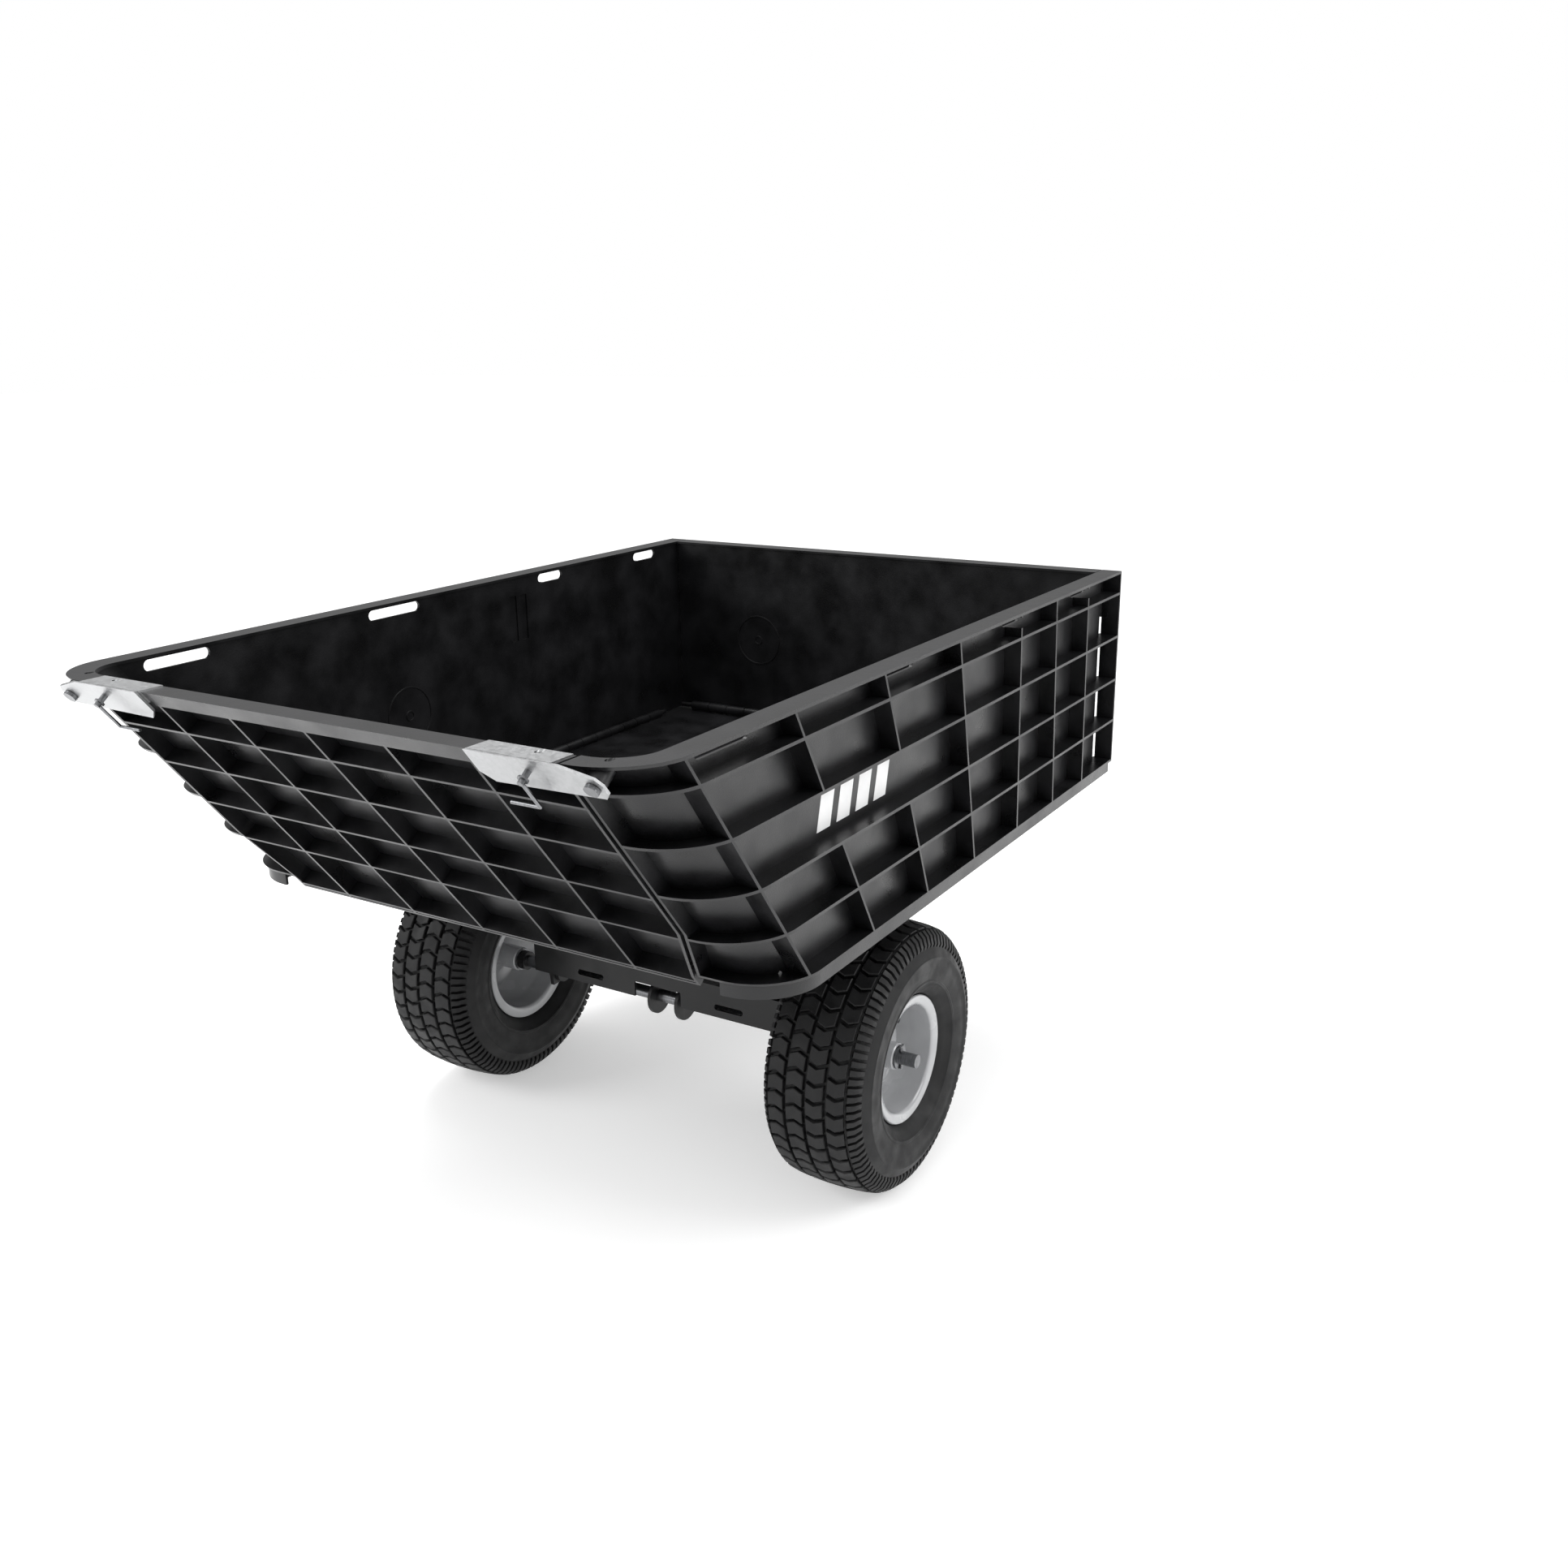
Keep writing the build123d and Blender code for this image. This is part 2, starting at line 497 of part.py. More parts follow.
def make_bracket(side):
    """Plate that hangs the carrier on the axle shaft."""
    inner = BRACKET_Y
    outline = [(-30, BEAM_Z[1] - SHEET), (30, BEAM_Z[1] - SHEET), (22, SHAFT_Z - 18), (-22, SHAFT_Z - 18)]
    plate = prism_xz(outline, inner, inner + 6) + rod_y(18, 0, SHAFT_Z, inner - 6, inner + 12)
    plate -= rod_y(SHAFT_R + SHAFT_FIT, 0, SHAFT_Z, inner - 10, inner + 20)
    return mirrored(plate, side)


def make_support(side):
    """Pair of tapered plates from the carrier up to the floor, joined by a top flange."""
    foot, head = SUPPORT_FOOT, SUPPORT_HEAD
    outline = [(foot[0], BEAM_Z[1]), (foot[1], BEAM_Z[1]), (head[1], FLOOR_BASE), (head[0], FLOOR_BASE)]
    part = prism_yz(outline, -SUPPORT_X, -SUPPORT_X + SHEET)
    part += prism_yz(outline, SUPPORT_X - SHEET, SUPPORT_X)
    part += box((-SUPPORT_X, SUPPORT_X), head, (FLOOR_BASE - SHEET, FLOOR_BASE))
    part += box((-SUPPORT_X, SUPPORT_X), foot, (BEAM_Z[1], BEAM_Z[1] + SHEET))
    return mirrored(part, side)


def make_rail(span):
    """Hat-shaped cross rail under the floor."""
    low, high = span
    rail = box((low + 20, high - 20), (-RAIL_HALF, RAIL_HALF), (FLOOR_BASE - RAIL_DROP, FLOOR_BASE))
    rail -= box((low + 23, high - 23), (-RAIL_HALF - 1, RAIL_HALF + 1),
                (FLOOR_BASE - RAIL_DROP + SHEET, FLOOR_BASE + 1))
    rail += box((low, low + 21), (-RAIL_HALF, RAIL_HALF), (FLOOR_BASE - SHEET, FLOOR_BASE))
    rail += box((high - 21, high), (-RAIL_HALF, RAIL_HALF), (FLOOR_BASE - SHEET, FLOOR_BASE))
    return rail


# ---------------------------------------------------------------- wheels
def ring_y(points, y, side):
    """Turned part about the axle from (radius, offset outboard) points."""
    outline = [Vector(r, offset) for r, offset in points]
    face = make_face(Polyline(*[(p.X, p.Y) for p in outline], close=True))
    turned = revolve(face, Axis.Y)
    return Pos(0, 0, SHAFT_Z) * mirrored(Pos(0, y, 0) * turned, side)


def make_tyre(side):
    """Pneumatic turf tyre with a flat tread, round shoulders and hollow inside."""
    r, h = TYRE_RADIUS, TYRE_HALF
    bead = FLANGE_OFFSET - 5.0
    outer = [(BEAD_RADIUS, bead - 1), (FLANGE_RADIUS + 0.6, bead + 4), (FLANGE_RADIUS + 6, bead + 9), (r - 75, h - 3), (r - 52, h), (r - 32, h - 4),
             (r - 14, h - 16), (r - 4, h - 33), (r, h - 50)]
    inner = [(r - 16, 0), (r - 20, h - 40), (r - 38, h - 16), (r - 62, h - 14), (BEAD_RADIUS + 14, bead - 6),
             (BEAD_RADIUS, bead - 10)]
    outline = outer + [(a, -b) for a, b in reversed(outer)]
    outline += [(a, -b) for a, b in reversed(inner)] + inner[1:]
    return ring_y(outline, TRACK_HALF, side)


def make_rim(side):
    """Pressed steel rim: barrel with two flanges, deep dish and centre hole."""
    f, r, t = FLANGE_OFFSET, FLANGE_RADIUS, SHEET
    seat = BEAD_RADIUS - 0.5
    low = seat - t
    profile = [(r, f), (seat, f - 5), (seat, -f + 5), (r, -f), (r, -f - t), (low, -f + 2), (low, DISH_OFFSET - 16),
               (58, DISH_OFFSET - 14), (42, DISH_OFFSET), (HUB_R, DISH_OFFSET), (HUB_R, DISH_OFFSET + t),
               (43, DISH_OFFSET + t), (60, DISH_OFFSET - 11), (low, DISH_OFFSET - 12), (low, f - 2), (r, f + t)]
    rim = ring_y(profile, TRACK_HALF, side)
    hole = rod_y(4.5, *valve_place(), TRACK_HALF - 20, TRACK_HALF + 30)
    return rim - mirrored(hole, side)


def valve_place():
    """X and Z of the valve in the wheel disc."""
    return 50.0 * sin(radians(VALVE_TURN)), SHAFT_Z + 50.0 * cos(radians(VALVE_TURN))


def make_hub(side):
    """Hub tube with a pressed flange at the disc."""
    profile = [(SHAFT_R + SHAFT_FIT, -HUB_HALF), (HUB_R, -HUB_HALF), (HUB_R, HUB_HALF), (SHAFT_R + SHAFT_FIT, HUB_HALF)]
    return ring_y(profile, TRACK_HALF, side)


def make_valve(side):
    """Rubber valve stem with its cap, through the wheel disc."""
    x, z = valve_place()
    start = TRACK_HALF + DISH_OFFSET - 18
    stem = rod_y(4.4, x, z, start, start + 30) + rod_y(5.5, x, z, start - 4, start)
    return mirrored(stem + rod_y(4.8, x, z, start + 28, start + 38), side)


def make_washers():
    """Plain washers each side of both hubs."""
    parts = []
    for _, side in SIDES:
        for y in (TRACK_HALF + HUB_HALF + 0.5, TRACK_HALF - HUB_HALF - 0.5 - WASHER_THICK):
            ring = rod_y(WASHER_R, 0, SHAFT_Z, y, y + WASHER_THICK)
            ring -= rod_y(SHAFT_R, 0, SHAFT_Z, y - 1, y + WASHER_THICK + 1)
            parts.append(mirrored(ring, side))
    return Compound(children=parts)


def make_collars():
    """Shaft collars that keep the inner washers in place."""
    parts = []
    y = TRACK_HALF - HUB_HALF - 0.5 - WASHER_THICK
    for _, side in SIDES:
        ring = rod_y(WASHER_R - 2, 0, SHAFT_Z, y - COLLAR_THICK, y)
        parts.append(mirrored(ring - rod_y(SHAFT_R, 0, SHAFT_Z, y - 40, y + 1), side))
    return Compound(children=parts)


def make_cotters():
    """Cotter pins through the shaft ends, with their bent legs."""
    parts = []
    y = TRACK_HALF + HUB_HALF + 0.5 + WASHER_THICK + COTTER_R
    for _, side in SIDES:
        pin = rod(COTTER_R, (0, y, SHAFT_Z - 17), (0, y, SHAFT_Z + 17))
        pin += rod(COTTER_R, (-5, y, SHAFT_Z + 17), (5, y, SHAFT_Z + 17))
        parts.append(mirrored(pin, side))
    return Compound(children=parts)


def make_shaft():
    """Axle shaft with a cross hole near each end for its cotter pin."""
    shaft = rod_y(SHAFT_R, 0, SHAFT_Z, -SHAFT_END, SHAFT_END)
    y = TRACK_HALF + HUB_HALF + 0.5 + WASHER_THICK + COTTER_R
    for _, side in SIDES:
        shaft -= rod(COTTER_R, (0, side * y, SHAFT_Z - 20), (0, side * y, SHAFT_Z + 20))
    return shaft


# ---------------------------------------------------------------- tongue and hitch
def tongue_z(x):
    """Centre height of the tongue tube at x."""
    share = (x - TONGUE_START[0]) / (TONGUE_END[0] - TONGUE_START[0])
    return TONGUE_START[1] + share * (TONGUE_END[1] - TONGUE_START[1])


def make_tongue():
    """Square tube rising from the axle plates to the hitch."""
    (x0, z0), (x1, z1) = TONGUE_START, TONGUE_END
    half = TONGUE_SIZE / 2
    tube = prism_xz([(x0, z0 - half), (x1, z1 - half), (x1, z1 + half), (x0, z0 + half)], -half, half)
    wall = half - SHEET
    tube -= prism_xz([(x0 - 1, z0 - wall), (x1 + 1, z1 - wall), (x1 + 1, z1 + wall), (x0 - 1, z0 + wall)], -wall, wall)
    for x in BOLT_X + HITCH_BOLT_X:
        tube -= cross_hole(x)
    return tube


def cross_hole(x):
    """Bolt hole through the tongue: across it at the axle end, upright at the hitch end."""
    z = tongue_z(x)
    if x in BOLT_X:
        return rod_y(BOLT_HOLE_R, x, z, -60, 60)
    return rod(BOLT_HOLE_R, (x, 0, z - 60), (x, 0, z + 60))


def make_axle_plate(side):
    """Plate beside the tongue with a round eye on the axle shaft."""
    y0 = TONGUE_SIZE / 2 + 0.0
    y1 = y0 + 5.0
    z0, z1 = tongue_z(60), tongue_z(165)
    outline = [(0, SHAFT_Z - PLATE_R), (60, z0 - 26), (165, z1 - 20), (165, z1 + 20), (60, z0 + 10), (30, SHAFT_Z + 22),
               (0, SHAFT_Z + PLATE_R)]
    plate = prism_xz(outline, y0, y1) + rod_y(PLATE_R, 0, SHAFT_Z, y0, y1)
    plate -= rod_y(SHAFT_R, 0, SHAFT_Z, y0 - 1, y1 + 1)
    for x in BOLT_X:
        plate -= cross_hole(x)
    return mirrored(plate, side)


def make_hitch_bar(level):
    """Flat bar above or below the tongue end, with a round nose and the hitch hole."""
    width, thick = HITCH_BAR
    low, high = sorted(level * lift for lift in (TONGUE_SIZE / 2, TONGUE_SIZE / 2 + thick))

    def layer(x0, x1):
        z0, z1 = tongue_z(x0), tongue_z(x1)
        return prism_xz([(x0, z0 + low), (x1, z1 + low), (x1, z1 + high), (x0, z0 + high)], -width / 2, width / 2)

    z = tongue_z(HITCH_X)
    nose = rod(width / 2, (HITCH_X, 0, z - 90), (HITCH_X, 0, z + 90))
    bar = layer(HITCH_BOLT_X[0] - width / 2, HITCH_X) + (nose & layer(HITCH_X - width, HITCH_X + width))
    bar -= rod(HITCH_HOLE_R, (HITCH_X, 0, z - 90), (HITCH_X, 0, z + 90))
    for x in HITCH_BOLT_X:
        bar -= cross_hole(x)
    return bar


def make_hitch_pin():
    """Drop pin with a bent handle; a cross hole below takes the clip."""
    z = tongue_z(HITCH_X)
    top = z + TONGUE_SIZE / 2 + HITCH_BAR[1] + 1.4
    bottom = z - TONGUE_SIZE / 2 - HITCH_BAR[1] - 34.0
    pin = rod(HITCH_PIN_R, (HITCH_X, 0, bottom), (HITCH_X, 0, top + 22))
    pin += rod(HITCH_PIN_R + 6, (HITCH_X, 0, top), (HITCH_X, 0, top + 4))
    pin += Pos(HITCH_X, 0, top + 22) * Sphere(HITCH_PIN_R)
    pin += rod(HITCH_PIN_R, (HITCH_X, 0, top + 22), (HITCH_X - 52, 0, top + 30))
    return pin - rod_y(CLIP_R + 0.3, HITCH_X, clip_z(), -20, 20)


def clip_z():
    """Height of the clip's hole in the hitch pin."""
    return tongue_z(HITCH_X) - TONGUE_SIZE / 2 - HITCH_BAR[1] - 4.0 - CLIP_PLAY


def make_hitch_clip():
    """Hairpin clip: straight leg through the pin, sprung leg round it, ring at the end."""
    z = clip_z()
    clip = rod_y(CLIP_R, HITCH_X, z, -14, 30)
    side_x = HITCH_X + HITCH_PIN_R + CLIP_R + 0.5
    clip += rod_y(CLIP_R, side_x, z, -14, 30)
    ring = Pos(HITCH_X + (side_x - HITCH_X) / 2, 38, z) * Torus(10, CLIP_R)
    return clip + ring


def make_post():
    """Rest post on the tongue under the bed's front, with the hole for the latch bolt."""
    z = tongue_z(POST_X) + TONGUE_SIZE / 2
    post = box((POST_X - 4, POST_X + 4), (-34, 34), (z + 0.4, FLOOR_BASE - RAIL_DROP - 2.0))
    post += prism_xz([(POST_X, z), (POST_X + 70, tongue_z(POST_X + 70) + TONGUE_SIZE / 2), (POST_X, z + 60)], -3, 3)
    return post - rod((BOLT_PIN_R + 1.5), (POST_X - 20, 0, BOLT_PIN_Z), (POST_X + 20, 0, BOLT_PIN_Z))


def make_latch_guide():
    """Block under the bed's front rail that guides the dump latch bolt."""
    x1 = POST_X - 8.0
    x0 = x1 - 46.0
    top = FLOOR_BASE - RAIL_DROP
    guide = box((x1 - 8, x1), (-20, 20), (BOLT_PIN_Z - 16, top)) + box((x0, x0 + 8), (-20, 20), (BOLT_PIN_Z - 16, top))
    guide += box((x0, x1), (-20, 20), (top - 4, top))
    return guide - rod(BOLT_PIN_R + 0.08, (x0 - 5, 0, BOLT_PIN_Z), (x1 + 5, 0, BOLT_PIN_Z))


def make_latch_bolt():
    """Dump latch bolt drawn back, with a cross handle behind its guide."""
    x1 = POST_X - 8.0
    x0 = x1 - 46.0
    bolt = rod(BOLT_PIN_R, (x0 - BOLT_THROW - 26, 0, BOLT_PIN_Z), (x1, 0, BOLT_PIN_Z))
    return bolt + rod_y(5.0, x0 - BOLT_THROW - 18, BOLT_PIN_Z, -70, 70)


def make_tongue_bolts():
    """Bolts with heads and nuts through the tongue and its plates."""
    parts = []
    reach = TONGUE_SIZE / 2 + 5.0
    for x in BOLT_X:
        z = tongue_z(x)
        bolt = rod_y(BOLT_R, x, z, -reach - 6, reach + 6)
        parts.append(bolt + rod_y(9.0, x, z, reach, reach + 6) + rod_y(9.0, x, z, -reach - 6, -reach))
    reach = TONGUE_SIZE / 2 + HITCH_BAR[1]
    for x in HITCH_BOLT_X:
        z = tongue_z(x)
        bolt = rod(BOLT_R, (x, 0, z - reach - 7), (x, 0, z + reach + 7))
        head = rod(9.0, (x, 0, z + reach + 1), (x, 0, z + reach + 7))
        parts.append(bolt + head + rod(9.0, (x, 0, z - reach - 7), (x, 0, z - reach - 1)))
    return Compound(children=parts)


def make_rods():
    """The four hinge rods of the folding walls."""
    rods = {"front_hinge_rod": rod_y(HINGE_ROD_R, FRONT_ROD_X, ROD_Z, -FRONT_HALF + 6, FRONT_HALF - 6),
            "rear_hinge_rod": rod_y(HINGE_ROD_R, REAR_ROD_X, ROD_Z, -REAR_HINGE_LENGTH / 2, REAR_HINGE_LENGTH / 2)}
    for name, side in SIDES:
        y = side * SIDE_ROD_Y
        rods[f"{name}_hinge_rod"] = rod(HINGE_ROD_R, (SIDE_ROD_X - SIDE_ROD_HALF, y, SIDE_ROD_Z),
                                        (SIDE_ROD_X + SIDE_ROD_HALF, y, SIDE_ROD_Z))
    return rods


# ---------------------------------------------------------------- the assembly
side_panel = make_side_panel()
nodes = {
    "floor_pan": make_floor(),
    "left_side_panel": side_panel,
    "right_side_panel": mirror(side_panel, Plane.XZ),
    "front_panel": make_front_panel(),
    "tailgate": make_tailgate(),
    "axle_beam": make_beam(),
    "rear_cross_rail": make_rail(RAIL_X[0]),
    "front_cross_rail": make_rail(RAIL_X[1]),
    "latch_guide": make_latch_guide(),
    "dump_latch_bolt": make_latch_bolt(),
    "axle_shaft": make_shaft(),
    "axle_washers": make_washers(),
    "axle_collars": make_collars(),
    "cotter_pins": make_cotters(),
    "tongue_tube": make_tongue(),
    "upper_hitch_bar": make_hitch_bar(1),
    "lower_hitch_bar": make_hitch_bar(-1),
    "hitch_pin": make_hitch_pin(),
    "hitch_clip": make_hitch_clip(),
    "bed_rest_post": make_post(),
    "tongue_bolts": make_tongue_bolts(),
}
nodes.update(make_rods())
for name, side in SIDES:
    nodes[f"{name}_latch_arm"] = make_latch_arm(side)
    nodes[f"{name}_rim_cap"] = make_rim_cap(side)
    nodes[f"{name}_arm_bolt"] = make_arm_bolt(side)
    nodes[f"{name}_pull_pin"] = make_pull_pin(side)
    nodes[f"{name}_corner_catch"] = make_corner_catch(side)
    nodes[f"{name}_axle_bracket"] = make_bracket(side)
    nodes[f"{name}_bed_support"] = make_support(side)
    nodes[f"{name}_axle_plate"] = make_axle_plate(side)
    nodes[f"{name}_tyre"] = make_tyre(side)
    nodes[f"{name}_rim"] = make_rim(side)
    nodes[f"{name}_hub"] = make_hub(side)
    nodes[f"{name}_valve"] = make_valve(side)

boxes = [part.bounding_box() for part in nodes.values()]
rear = min(b.min.X for b in boxes)
front = max(b.max.X for b in boxes)
shift = -(rear + front) / 2
os.makedirs("parts", exist_ok=True)
for name, part in nodes.items():
    export_step(Pos(shift, 0, 0) * part, f"parts/{name}.step")
print(f"middle is {-shift:.3f} mm ahead of the axle")
print(f"front rod x {FRONT_ROD_X + shift:.3f}, rear rod x {REAR_ROD_X + shift:.3f}, rods z {ROD_Z:.3f}")
for y in (ARM_PIVOT_Y, PIN_Y):
    v = ARM_PIVOT_V if y == ARM_PIVOT_Y else PIN_V
    point = gate_line(y, v, 0, 60)[0]
    print(f"latch line at y {y:.1f}: x {point.X + shift:.3f}, z {point.Z:.3f}")
print(f"hitch x {HITCH_X + shift:.3f}, z {tongue_z(HITCH_X):.3f}, latch bolt z {BOLT_PIN_Z:.1f}")
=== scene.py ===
"""Dresses the tow-behind dump cart: finishes for every piece, treaded tyres, dished rims and trim.

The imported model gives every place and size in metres: X forward to the tractor, Y left, Z up.
"""

import json
import logging
import math
from dataclasses import dataclass
from enum import Enum

import bmesh
import bpy
from mathutils import Matrix, Vector


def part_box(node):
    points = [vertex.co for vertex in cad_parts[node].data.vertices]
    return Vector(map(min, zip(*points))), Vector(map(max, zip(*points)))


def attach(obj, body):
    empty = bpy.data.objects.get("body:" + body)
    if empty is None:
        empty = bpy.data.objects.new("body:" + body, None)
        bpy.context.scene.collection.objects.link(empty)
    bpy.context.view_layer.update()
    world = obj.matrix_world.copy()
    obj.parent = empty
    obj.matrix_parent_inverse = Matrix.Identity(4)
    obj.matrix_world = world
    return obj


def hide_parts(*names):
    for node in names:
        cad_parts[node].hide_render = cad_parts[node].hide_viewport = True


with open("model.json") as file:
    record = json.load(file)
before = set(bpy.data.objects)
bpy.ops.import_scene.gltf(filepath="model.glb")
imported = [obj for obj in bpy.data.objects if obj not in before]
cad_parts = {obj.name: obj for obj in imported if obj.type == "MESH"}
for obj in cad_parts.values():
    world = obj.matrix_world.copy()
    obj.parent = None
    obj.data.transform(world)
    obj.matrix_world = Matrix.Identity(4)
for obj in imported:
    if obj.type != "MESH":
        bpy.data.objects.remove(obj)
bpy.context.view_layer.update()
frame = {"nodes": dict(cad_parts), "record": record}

MM = 0.001
LOG = logging.getLogger("dump_cart")


class Side(Enum):
    """The two sides of the cart, with the sign of their Y."""

    LEFT = 1
    RIGHT = -1

    @property
    def word(self) -> str:
        """The side's name as the nodes use it."""
        return self.name.lower()


# ------------------------------------------------------------------ colour and nodes
def linear(code: str) -> tuple[float, float, float, float]:
    """Turns an sRGB hex colour into the linear colour that shaders take.

    Args:
        code: A colour such as "#1c1c1d".

    Returns:
        Linear red, green and blue, and an alpha of one.
    """
    channels = [int(code[i:i + 2], 16) / 255 for i in (1, 3, 5)]
    curve = [c / 12.92 if c <= 0.04045 else ((c + 0.055) / 1.055) ** 2.4 for c in channels]
    return (*curve, 1.0)


def add_node(tree: bpy.types.NodeTree, kind: str, settings: dict | None = None,
             links: dict | None = None) -> bpy.types.Node:
    """Adds a shader node with its settings and incoming links.

    Args:
        tree: The material's node tree.
        kind: The node's type, such as "ShaderNodeTexNoise".
        settings: Attribute names or input names, with their values.
        links: Input names, with the output sockets that feed them.

    Returns:
        The new node.
    """
    node = tree.nodes.new(kind)
    for key, value in (settings or {}).items():
        if hasattr(node, key):
            setattr(node, key, value)
        else:
            node.inputs[key].default_value = value
    for key, source in (links or {}).items():
        tree.links.new(source, node.inputs[key])
    return node


def per_metre(size_mm: float) -> float:
    """Texture scale that makes one cell of a pattern the given size in millimetres."""
    return 1.0 / (size_mm * MM)


@dataclass(frozen=True)
class Finish:
    """One surface finish: two close tones in soft patches over a fine relief.

    The patches stand for what handling, dust and moulding leave, and the relief for the surface's
    own grain.
    """

    name: str
    tone: str
    second_tone: str
    patch_mm: float
    roughness: tuple[float, float]
    grain_mm: float
    grain_depth_mm: float
    metallic: float = 0.0
    ior: float | None = 1.5
    coat: float = 0.0
    streak: tuple[float, float, float] = (1.0, 1.0, 1.0)
    cells: bool = False

    def material(self) -> bpy.types.Material:
        """Builds the finish's material, or finds it if it is already there.

        Returns:
            The material, with its nodes linked.
        """
        found = bpy.data.materials.get(self.name)
        if found:
            return found
        material = bpy.data.materials.new(self.name)
        material.use_nodes = True
        tree = material.node_tree
        tree.nodes.clear()
        where = add_node(tree, "ShaderNodeTexCoord").outputs["Object"]
        place = add_node(tree, "ShaderNodeMapping", {"Scale": self.streak}, {"Vector": where})
        patch = self.pattern(tree, place.outputs["Vector"])
        tones = add_node(tree, "ShaderNodeMix", {"data_type": "RGBA"})
        tones.inputs[6].default_value = linear(self.tone)
        tones.inputs[7].default_value = linear(self.second_tone)
        tree.links.new(patch, tones.inputs["Factor"])
        gloss = add_node(tree, "ShaderNodeMapRange",
                         {"To Min": self.roughness[0], "To Max": self.roughness[1]}, {"Value": patch})
        grain = add_node(tree, "ShaderNodeTexNoise", {"Scale": per_metre(self.grain_mm), "Detail": 3.0},
                         {"Vector": where})
        bump = add_node(tree, "ShaderNodeBump", {"Strength": 1.0, "Distance": self.grain_depth_mm * MM},
                        {"Height": grain.outputs["Fac"]})
        shader = add_node(tree, "ShaderNodeBsdfPrincipled", {"Metallic": self.metallic},
                          {"Base Color": tones.outputs[2], "Roughness": gloss.outputs["Result"],
                           "Normal": bump.outputs["Normal"]})
        if self.ior is not None:
            shader.inputs["IOR"].default_value = self.ior
        shader.inputs["Coat Weight"].default_value = self.coat
        shader.inputs["Coat Roughness"].default_value = 0.08
        add_node(tree, "ShaderNodeOutputMaterial", None, {"Surface": shader.outputs["BSDF"]})
        return material

    def pattern(self, tree: bpy.types.NodeTree, place: bpy.types.NodeSocket) -> bpy.types.NodeSocket:
        """Makes the patch pattern: crystal cells on galvanised sheet, soft clouds elsewhere.

        Args:
            tree: The material's node tree.
            place: The coordinates that the pattern follows.

        Returns:
            The socket with the pattern's value from 0 to 1.
        """
        if self.cells:
            cell = add_node(tree, "ShaderNodeTexVoronoi", {"Scale": per_metre(self.patch_mm)},
                            {"Vector": place})
            shade = add_node(tree, "ShaderNodeSeparateColor", None, {"Color": cell.outputs["Color"]})
            return shade.outputs[0]
        cloud = add_node(tree, "ShaderNodeTexNoise",
                         {"Scale": per_metre(self.patch_mm), "Detail": 3.0, "Roughness": 0.5},
                         {"Vector": place})
        return add_node(tree, "ShaderNodeMapRange", {"From Min": 0.35, "From Max": 0.68},
                        {"Value": cloud.outputs["Fac"]}).outputs["Result"]


# Injection moulded black polypropylene: faint flow clouds and a fine spark-eroded grain give a soft sheen.
BED_PLASTIC = Finish("moulded_black_polypropylene", "#0f0f10", "#1b1b1d", 60.0, (0.27, 0.42), 1.8, 0.18,
                     ior=1.45)
# Hot-dip galvanised sheet: zinc crystals a few millimetres wide, each a slightly different grey.
GALVANISED = Finish("galvanised_steel_sheet", "#a9aaab", "#b4b5b6", 4.0, (0.30, 0.40), 1.5, 0.02,
                    metallic=0.85, ior=None, cells=True)
# Zinc plated wire and bolts: brighter and smoother than the sheet, with drawn streaks.
ZINC_PLATED = Finish("zinc_plated_steel", "#747577", "#8e8f91", 9.0, (0.28, 0.42), 1.0, 0.02,
                     metallic=1.0, ior=None, streak=(1.0, 6.0, 1.0))
# Tyre rubber: matte charcoal, dusty on the high spots.
TYRE_RUBBER = Finish("vulcanised_tyre_rubber", "#0d0d0e", "#171718", 24.0, (0.50, 0.72), 1.6, 0.12, ior=1.42)
# Stove enamel on the pressed rims: light grey, glossy, with the slight orange peel of sprayed paint.
RIM_ENAMEL = Finish("grey_stove_enamel", "#a2a3a5", "#b0b1b3", 60.0, (0.20, 0.30), 5.0, 0.02, coat=0.8)
# Black powder coat on the carrier and tongue: satin, with a pebbled skin.
POWDER_COAT = Finish("black_powder_coat", "#0d0d0e", "#161617", 45.0, (0.34, 0.50), 1.4, 0.05, ior=1.42)
# Silk-screened plain bars on the side band: flat white ink.
WHITE_INK = Finish("white_screen_ink", "#e6e6e6", "#f0f0f0", 30.0, (0.45, 0.55), 2.2, 0.05)

SLOT_FINISH = {
    "bed_plastic": BED_PLASTIC,
    "zinc_steel": GALVANISED,
    "bright_steel": ZINC_PLATED,
    "tyre_rubber": TYRE_RUBBER,
    "valve_rubber": TYRE_RUBBER,
    "rim_paint": RIM_ENAMEL,
    "black_paint": POWDER_COAT,
}

# Width of the rounded edges of the moulded and bent pieces, in millimetres.
EDGE_MM = {
    "left_side_panel": 1.2, "right_side_panel": 1.2, "tailgate": 1.2, "front_panel": 1.2,
    "floor_pan": 1.0,
    "left_latch_arm": 0.7, "right_latch_arm": 0.7, "left_rim_cap": 0.6, "right_rim_cap": 0.6,
}


# ------------------------------------------------------------------ meshes
def new_piece(name: str, mesh: bmesh.types.BMesh, finish: Finish, body: str,
              smooth_angle: float = 35.0) -> bpy.types.Object:
    """Turns a finished bmesh into a piece that rides on a body.

    Args:
        name: The piece's name.
        mesh: Its geometry in the row frame; it is freed here.
        finish: The finish that dresses it.
        body: The CAD body that it moves with.
        smooth_angle: Edges sharper than this stay crisp, in degrees.

    Returns:
        The new object.
    """
    bmesh.ops.recalc_face_normals(mesh, faces=mesh.faces)
    data = bpy.data.meshes.new(name)
    mesh.to_mesh(data)
    mesh.free()
    data.materials.append(finish.material())
    data.shade_smooth()
    data.set_sharp_from_angle(angle=math.radians(smooth_angle))
    piece = bpy.data.objects.new(name, data)
    bpy.context.scene.collection.objects.link(piece)
    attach(piece, body)
    return piece


